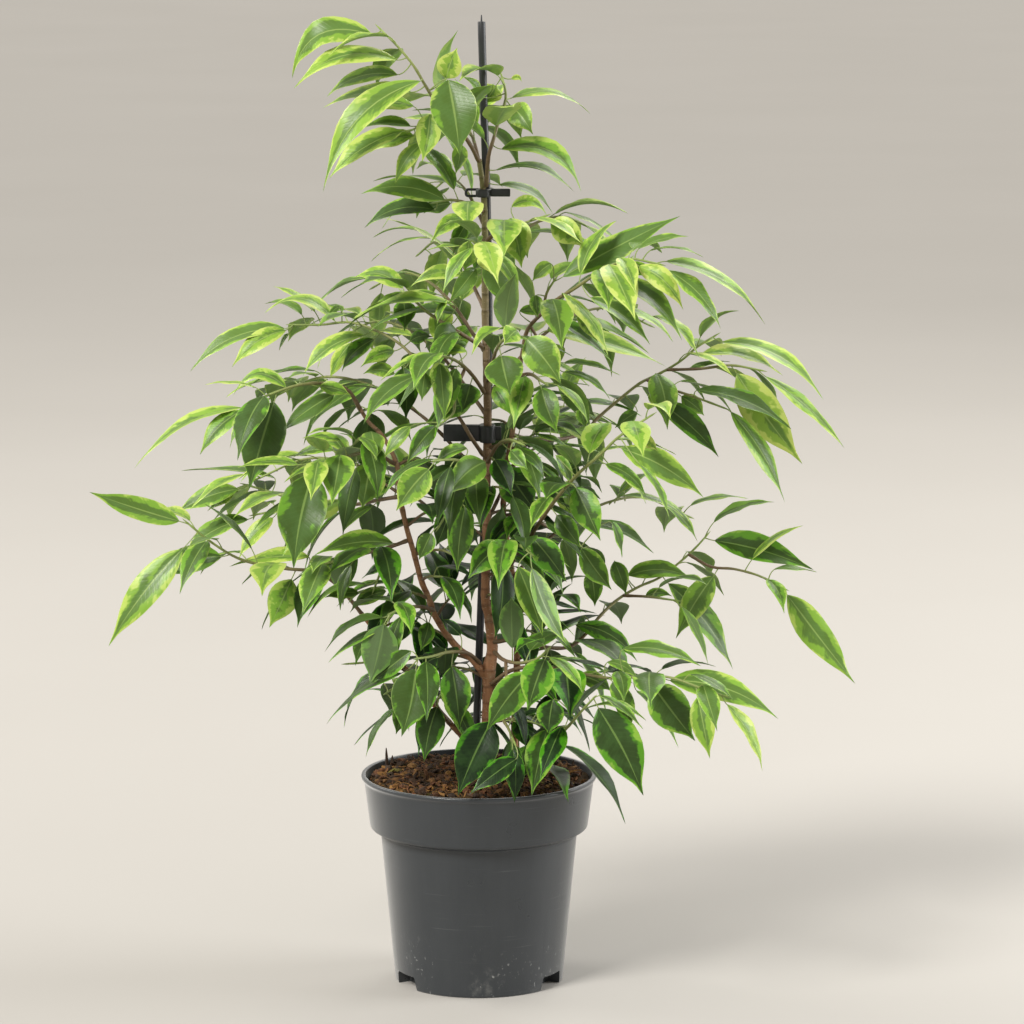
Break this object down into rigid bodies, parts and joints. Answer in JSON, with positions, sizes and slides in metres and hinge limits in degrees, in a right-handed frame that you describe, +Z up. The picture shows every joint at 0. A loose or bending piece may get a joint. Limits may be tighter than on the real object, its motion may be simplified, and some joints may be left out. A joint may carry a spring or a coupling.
{
  "type": "weeping fig",
  "caption": "Variegated weeping fig: thin woody stems with drooping pointed green and cream leaves, tied to a slim stake in a round tapered nursery pot filled with soil.",
  "frame": {"origin": "middle of the pot's underside, on the surface that it stands on", "axes": "+Z up along the stake; -Y towards the viewer of the picture; +X to the viewer's right"},
  "size_m": [0.6804, 0.4528, 0.8609],
  "materials": {
    "pot": "satin grey plastic",
    "soil": "loose bark chips and fibres",
    "stake": "satin black",
    "clip": "satin black",
    "bark": "reddish brown bark",
    "leaf": "glossy green leaf with a cream margin"
  },
  "bodies": {
    "root": {"clip_lower": "clip", "clip_upper": "clip", "pot": "pot", "soil": "soil", "spray_back_01": "leaf", "spray_back_02": "leaf", "spray_back_03": "leaf", "spray_back_04": "leaf", "spray_back_05": "leaf", "spray_back_06": "leaf", "spray_back_07": "leaf", "spray_back_08": "leaf", "spray_back_09": "leaf", "spray_back_10": "leaf", "spray_back_11": "leaf", "spray_back_12": "leaf", "spray_centre_dark": "leaf", "spray_centre_folded": "leaf", "spray_centre_left": "leaf", "spray_centre_low": "leaf", "spray_centre_right": "leaf", "spray_centre_upper": "leaf", "spray_front_foot": "leaf", "spray_front_low": "leaf", "spray_left_foot": "leaf", "spray_left_low": "leaf", "spray_left_mid": "leaf", "spray_left_reach": "leaf", "spray_left_top": "leaf", "spray_limb_back": "leaf", "spray_limb_foot": "leaf", "spray_limb_lower": "leaf", "spray_limb_tip": "leaf", "spray_limb_upper": "leaf", "spray_low_front_left": "leaf", "spray_right_foot": "leaf", "spray_right_front": "leaf", "spray_right_low": "leaf", "spray_right_low_mid": "leaf", "spray_right_mid": "leaf", "spray_right_reach": "leaf", "spray_right_top": "leaf", "spray_top_left": "leaf", "spray_top_right": "leaf", "spray_upper_left": "leaf", "spray_upper_right": "leaf", "stake": "stake", "stem_left": "bark", "stem_right": "bark", "trunk": "bark"}
  },
  "joints": []
}
